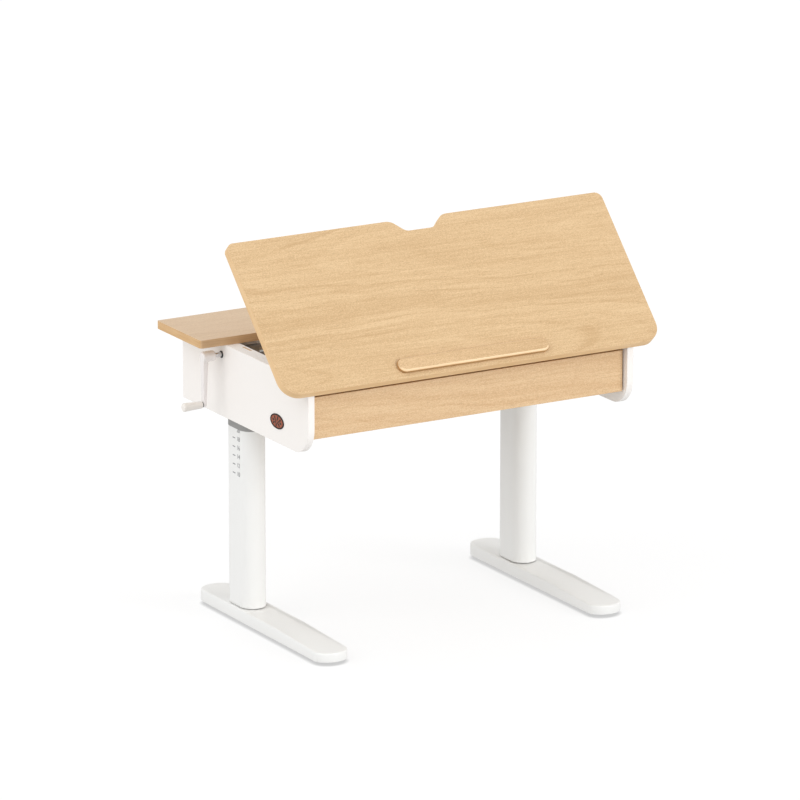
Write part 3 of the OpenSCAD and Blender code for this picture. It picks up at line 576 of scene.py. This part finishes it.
def foot(node):
    """Long foot: flattened round ends, a level rear, a top that slopes to the tip, soft upper edges.

    It is solid, where the CAD foot is hollow underneath.
    """
    end = 34 * MM
    slope_start = -84 * MM
    slope_drop = 7.5 * MM
    upper_round = 4.0 * MM
    sole_round = 1.5 * MM
    end_steps = 32
    lo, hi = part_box(node)
    middle = (lo + hi) / 2
    half_w = (hi.x - lo.x) / 2
    half_l = (hi.y - lo.y) / 2
    bend = slope_start - middle.y
    drop = slope_drop / (half_l + bend)
    rear = [(half_w * math.cos(a), half_l - end + end * math.sin(a))
            for a in (math.pi * k / end_steps for k in range(end_steps + 1))]
    front = [(-x, -y) for x, y in rear]
    outline = rear + [(-half_w, bend)] + front + [(half_w, bend)]

    def top(x, y):
        return hi.z - max(0.0, drop * (bend - y))

    bm = prism(outline, lo.z, top, lambda x, y, z: (middle.x + x, middle.y + y, z))
    rim = [e for e in bm.edges if all(v.co.z > middle.z for v in e.verts)]
    bmesh.ops.bevel(bm, geom=rim, offset=upper_round, segments=6, profile=0.5, affect="EDGES")
    sole = [e for e in bm.edges if all(v.co.z < lo.z + 10 * WELD for v in e.verts)]
    bmesh.ops.bevel(bm, geom=sole, offset=sole_round, segments=3, profile=0.5, affect="EDGES")
    obj = smooth(link("soft_" + node, bm))
    return finish_piece(obj, [node], [mat["steel_white"]])


def paint(name, material):
    """Gives a CAD node that stays in view its material."""
    materials = frame["nodes"][name].data.materials
    materials.clear()
    materials.append(material)


for side in ("left", "right"):
    foot(side + "_foot")
    for part, finish in (("outer_tube", "steel_white"), ("inner_tube", "grey_steel"),
                         ("base_plate", "grey_steel"), ("nut_tube", "grey_steel"),
                         ("screw_nut", "brass"), ("glide_shoe", "black"), ("lead_screw", "zinc")):
        paint(side + "_" + part, mat[finish])

for name, finish in (("levelling_glides", "black"), ("foot_bolts", "zinc"), ("gearbox_screws", "zinc"),
                     ("thrust_washers", "zinc"), ("frame_screws", "zinc"), ("fixed_hinge_leaves", "zinc"),
                     ("moving_hinge_leaves", "zinc"), ("hinge_pins", "zinc"), ("top_screws", "zinc"),
                     ("cross_tube", "zinc"), ("crank_socket", "black"), ("crank_shaft", "chrome")):
    paint(name, mat[finish])

# ---- height scale --------------------------------------------------------------------------


SCALE_PITCH = 21.1 * MM
SCALE_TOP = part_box("left_outer_tube")[1].z - 23.5 * MM
SCALE_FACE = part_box("height_scale")[0].x - 0.05 * MM


def scale_label():
    """Thin white label that carries the scale."""
    obj = soft_copy("height_scale", 0.05 * MM, 1)
    finish_piece(obj, ["height_scale"], [mat["label"]])


def scale_ticks():
    """Five short marks, a pitch apart, on the left column's flat side."""
    tick_y = 122 * MM
    tick_size = (0.2 * MM, 12 * MM, 2.2 * MM, 1)
    bm = bmesh.new()
    for i in range(5):
        place = Matrix.Translation((SCALE_FACE, tick_y, SCALE_TOP - i * SCALE_PITCH))
        bmesh.ops.create_cube(bm, size=1.0, matrix=place @ Matrix.Diagonal(tick_size))
    finish_piece(link("scale_ticks", bm), [], [mat["marks"]], "base")


def scale_number(row):
    """Even index number, the first one level with the lowest mark."""
    number_y = 101 * MM
    curve = bpy.data.curves.new("scale_number_%d" % (row + 1), "FONT")
    curve.body = str(10 + 2 * row)
    curve.size = 15 * MM
    curve.extrude = 0.1 * MM
    curve.align_x = "CENTER"
    curve.align_y = "CENTER"
    curve.space_character = 0.9
    text = bpy.data.objects.new("scale_number_%d" % (row + 1), curve)
    bpy.context.collection.objects.link(text)
    text.rotation_euler = (math.pi / 2, 0, -math.pi / 2)
    text.location = (SCALE_FACE, number_y, SCALE_TOP - (4 - row) * SCALE_PITCH)
    bpy.context.view_layer.update()
    mesh = bpy.data.meshes.new_from_object(text)
    solid = bpy.data.objects.new("scale_digit_%d" % (row + 1), mesh)
    solid.matrix_world = text.matrix_world.copy()
    bpy.context.collection.objects.link(solid)
    bpy.data.objects.remove(text)
    finish_piece(solid, [], [mat["marks"]], "base")


scale_label()
scale_ticks()
for row in range(6):
    scale_number(row)

# ---- crank ---------------------------------------------------------------------------------


CRANK_X = Vector((-1, 0, 0))
arm_lo, arm_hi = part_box("crank_arm")
knob_lo, knob_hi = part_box("crank_knob")
shaft_lo, shaft_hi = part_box("crank_shaft")
CRANK_Y = (shaft_lo.y + shaft_hi.y) / 2
SHAFT_Z = (shaft_lo.z + shaft_hi.z) / 2
KNOB_Z = (knob_lo.z + knob_hi.z) / 2
ARM_FACE = knob_hi.x + 1.8 * MM
ARM_CRANKED = 1.5 * MM


def arm_blank():
    """Flat arm, wider and thicker at the shaft, with rounded edges."""
    root_r = 9.5 * MM
    tip_r = KNOB_Z - arm_lo.z
    tip_t = 8.5 * MM
    root_extra_t = 4.0 * MM
    sharp = 0.9
    tangent = math.degrees(math.acos((root_r - tip_r) / (SHAFT_Z - KNOB_Z)))
    outline = arc((CRANK_Y, SHAFT_Z), root_r, tangent - 90, 270 - tangent, 40)
    outline += arc((CRANK_Y, KNOB_Z), tip_r, 270 - tangent, 270 + tangent, 24)

    def along(z):
        return (z - KNOB_Z) / (SHAFT_Z - KNOB_Z)

    def outer_face(y, z):
        return ARM_FACE - ARM_CRANKED * along(z)

    def inner_face(y, z):
        return ARM_FACE + tip_t + root_extra_t * along(z)

    bm = prism(outline, outer_face, inner_face, lambda y, z, x: (x, y, z))
    edges = [e for e in bm.edges if len(e.link_faces) == 2 and e.calc_face_angle(0) > sharp]
    bmesh.ops.bevel(bm, geom=edges, offset=2.2 * MM, segments=5, profile=0.5, affect="EDGES")
    return bm


def arm_hub():
    """Round hub from the panel side to the arm's outer face, its rims rounded."""
    radius = arm_hi.z - SHAFT_Z
    length = arm_hi.x - ARM_FACE + ARM_CRANKED
    profile = [(0, 0), (0, radius - 1.6 * MM), (0.5 * MM, radius - 0.5 * MM), (1.6 * MM, radius),
               (length - 3 * MM, radius), (length - 1 * MM, radius - 1 * MM),
               (length, radius - 3 * MM), (length, 0)]
    return revolve(profile, (arm_hi.x, CRANK_Y, SHAFT_Z), CRANK_X)


def crank_arm():
    """One moulding: hub and arm, blended by a fine remesh."""
    bm = arm_blank()
    hub = arm_hub()
    hub_mesh = bpy.data.meshes.new("hub")
    hub.to_mesh(hub_mesh)
    hub.free()
    bm.from_mesh(hub_mesh)
    obj = link("crank_arm_moulding", bm)
    remesh = obj.modifiers.new("blend", "REMESH")
    remesh.mode = "VOXEL"
    remesh.voxel_size = 0.7 * MM
    relax = obj.modifiers.new("relax", "SMOOTH")
    relax.factor = 0.5
    relax.iterations = 6
    apply_modifiers(obj)
    smooth(obj)
    finish_piece(obj, ["crank_arm"], [mat["crank"]])


def knob_washer():
    """Black ring between the arm and the knob."""
    radius = 6.6 * MM
    thick = 1.5 * MM
    profile = [(0, 0), (0, radius), (thick, radius), (thick, 0)]
    ring = revolve(profile, (ARM_FACE, CRANK_Y, KNOB_Z), CRANK_X)
    finish_piece(smooth(link("crank_knob_washer", ring)), [], [mat["black"]], "crank")


def crank_knob():
    """Tapered grip, thicker towards its round outer end."""
    axis_y = (knob_lo.y + knob_hi.y) / 2
    length = knob_hi.x - knob_lo.x
    wide = (knob_hi.z - knob_lo.z) / 2
    narrow = 0.79 * wide
    widest_at = 0.9
    end_round = 4 * MM
    profile = [(0, 0), (0, narrow - 0.8 * MM), (0.3 * MM, narrow - 0.3 * MM), (1.0 * MM, narrow)]
    profile += [(length * t, narrow + (wide - narrow) * t / widest_at)
                for t in (0.2, 0.4, 0.6, 0.8, widest_at)]
    profile += [(length - end_round * (1 - math.sin(a)), wide - end_round * (1 - math.cos(a)))
                for a in (math.radians(d) for d in range(15, 91, 15))]
    profile += [(length, 0)]
    bm = revolve(profile, (knob_hi.x, axis_y, KNOB_Z), CRANK_X, 64)
    finish_piece(smooth(link("crank_grip", bm)), ["crank_knob"], [mat["knob"]])


crank_arm()
knob_washer()
crank_knob()

# ---- badge ---------------------------------------------------------------------------------


badge_lo, badge_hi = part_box("badge")
BADGE = Vector((badge_hi.x, (badge_lo.y + badge_hi.y) / 2, (badge_lo.z + badge_hi.z) / 2))
BADGE_HALF_Y = (badge_hi.y - badge_lo.y) / 2
BADGE_HALF_Z = (badge_hi.z - badge_lo.z) / 2
BADGE_DEEP = badge_hi.x - badge_lo.x
BADGE_RIM = 3.4 * MM
FIELD_HEIGHT = 0.62 * BADGE_DEEP


def oval_bands(bm, profile):
    """Bands between ovals, one for each (inset, height) of the profile; returns the ovals."""
    steps = 96
    rings = []
    for inset, height in profile:
        rings.append([bm.verts.new((BADGE.x - height,
                                    BADGE.y + (BADGE_HALF_Y - inset) * math.cos(2 * math.pi * k / steps),
                                    BADGE.z + (BADGE_HALF_Z - inset) * math.sin(2 * math.pi * k / steps)))
                      for k in range(steps)])
    for first, second in zip(rings, rings[1:]):
        for k in range(steps):
            m = (k + 1) % steps
            bm.faces.new((first[k], first[m], second[m], second[k]))
    return rings


def badge_rim():
    """Rounded oval rim, closed behind and under the field."""
    bm = bmesh.new()
    profile = [(0, 0), (0, BADGE_DEEP * 0.5)]
    profile += [(BADGE_RIM * (0.5 - 0.5 * math.cos(a)), BADGE_DEEP * (0.5 + 0.5 * math.sin(a)))
                for a in (math.radians(d) for d in range(20, 180, 20))]
    profile += [(BADGE_RIM, BADGE_DEEP * 0.4)]
    rings = oval_bands(bm, profile)
    bm.faces.new(rings[0])
    bm.faces.new(rings[-1])
    bmesh.ops.recalc_face_normals(bm, faces=bm.faces)
    finish_piece(smooth(link("badge_rim", bm)), ["badge"], [mat["badge_rim"]])


def badge_field():
    """Slightly domed copper field inside the rim."""
    bm = bmesh.new()
    profile = [(BADGE_RIM * 0.9, BADGE_DEEP * 0.42), (BADGE_RIM * 1.8, BADGE_DEEP * 0.56),
               (BADGE_RIM * 2.8, FIELD_HEIGHT)]
    rings = oval_bands(bm, profile)
    bm.faces.new(rings[-1])
    bmesh.ops.recalc_face_normals(bm, faces=bm.faces)
    finish_piece(smooth(link("badge_field", bm)), [], [mat["badge_field"]], "lift_frame")


def petal(bm, reach, length, breadth, turn):
    """Flat ellipsoid that points away from the badge's centre."""
    middle = Vector((BADGE.x - FIELD_HEIGHT,
                     BADGE.y + reach * (BADGE_HALF_Y - BADGE_RIM) * math.cos(turn),
                     BADGE.z + reach * (BADGE_HALF_Z - BADGE_RIM) * math.sin(turn)))
    place = Matrix.Translation(middle) @ Matrix.Rotation(turn, 4, "X")
    size = Matrix.Diagonal((0.5 * MM, length, breadth, 1))
    bmesh.ops.create_uvsphere(bm, u_segments=16, v_segments=10, radius=1.0, matrix=place @ size)


def badge_motif():
    """Abstract motif of eight outer and five inner petals."""
    bm = bmesh.new()
    for count, reach, length, breadth, phase in ((8, 0.62, 4.6, 2.7, 0.2), (5, 0.28, 3.4, 2.0, 0.5)):
        for k in range(count):
            petal(bm, reach, length * MM, breadth * MM, 2 * math.pi * k / count + phase)
    finish_piece(smooth(link("badge_motif", bm)), [], [mat["badge_mark"]], "lift_frame")


badge_rim()
badge_field()
badge_motif()

# ---- floor, light and camera ---------------------------------------------------------------


def floor():
    """Wide pale floor: near white to the camera, with a narrow painted shadow where it meets the feet."""
    reach = 40.0
    shadow_reach = 10.5 * MM
    glow_seen = 0.75
    glow_unseen = 0.46
    bm = bmesh.new()
    for x, y in ((-reach, -reach), (reach, -reach), (reach, reach), (-reach, reach)):
        bm.verts.new((x, y, 0))
    bm.faces.new(bm.verts)
    obj = link("floor", bm)
    g = Graph("pale_floor", roughness=0.9)
    cloud = g.noise(g.add("TexCoord")["Object"], 3.0, 2.0)
    g.to_shader("Base Color", g.mix(cloud, (0.25, 0.25, 0.25, 1), (0.26, 0.26, 0.26, 1)))
    g.shader.inputs["Specular IOR Level"].default_value = 0.0
    g.shader.inputs["Emission Color"].default_value = (1.0, 1.0, 1.0, 1)
    seen = g.add("LightPath")["Is Camera Ray"]
    # Painted shadow: occlusion darkens the glow the camera sees near the feet.
    open_sky = g.add("AmbientOcclusion", {"Distance": shadow_reach})["AO"]
    shown = g.math("MULTIPLY", open_sky, glow_seen)
    hidden = g.math("MULTIPLY", g.math("SUBTRACT", 1.0, seen), glow_unseen)
    g.to_shader("Emission Strength", g.math("MULTIPLY_ADD", shown, seen, hidden))
    obj.data.materials.append(g.material)


def world():
    """White surroundings, brighter overhead; the camera sees them plain white."""
    level_strength = 0.60
    overhead_strength = 0.98
    scene_world = bpy.data.worlds.new("studio")
    bpy.context.scene.world = scene_world
    scene_world.use_nodes = True
    tree = scene_world.node_tree
    background = tree.nodes["Background"]
    background.inputs["Color"].default_value = (1.0, 1.0, 1.0, 1)
    coords = tree.nodes.new("ShaderNodeTexCoord")
    split = tree.nodes.new("ShaderNodeSeparateXYZ")
    glow = tree.nodes.new("ShaderNodeMapRange")
    path = tree.nodes.new("ShaderNodeLightPath")
    seen = tree.nodes.new("ShaderNodeMath")
    seen.operation = "MAXIMUM"
    glow.inputs["From Min"].default_value = 0.0
    glow.inputs["From Max"].default_value = 1.0
    glow.inputs["To Min"].default_value = level_strength
    glow.inputs["To Max"].default_value = overhead_strength
    tree.links.new(coords.outputs["Generated"], split.inputs[0])
    tree.links.new(split.outputs["Z"], glow.inputs["Value"])
    tree.links.new(glow.outputs["Result"], seen.inputs[0])
    tree.links.new(path.outputs["Is Camera Ray"], seen.inputs[1])
    tree.links.new(seen.outputs[0], background.inputs["Strength"])


def sun(name, direction, strength, angle):
    """Broad parallel light that comes from the given direction."""
    data = bpy.data.lights.new(name, "SUN")
    data.energy = strength
    data.angle = math.radians(angle)
    obj = bpy.data.objects.new(name, data)
    obj.rotation_euler = Vector(direction).to_track_quat("Z", "Y").to_euler()
    bpy.context.collection.objects.link(obj)


def camera():
    """Long lens from the front left, a little above the desk."""
    azimuth = math.radians(-30.07)
    elevation = math.radians(15.57)
    distance = 16.233
    aim = Vector((-0.0256, -0.0304, 0.5194))
    back = Vector((math.sin(azimuth) * math.cos(elevation), -math.cos(azimuth) * math.cos(elevation),
                   math.sin(elevation)))
    data = bpy.data.cameras.new("camera")
    data.lens = 314.6
    data.clip_end = 200
    obj = bpy.data.objects.new("camera", data)
    obj.location = aim + distance * back
    obj.rotation_euler = back.to_track_quat("Z", "Y").to_euler()
    bpy.context.collection.objects.link(obj)
    bpy.context.scene.camera = obj


bpy.context.scene.view_settings.view_transform = "Standard"
floor()
world()
sun("key", (0.5, -0.85, 0.3), 1.2, 30)
sun("left_fill", (-0.9, -0.1, 0.45), 1.0, 60)
camera()
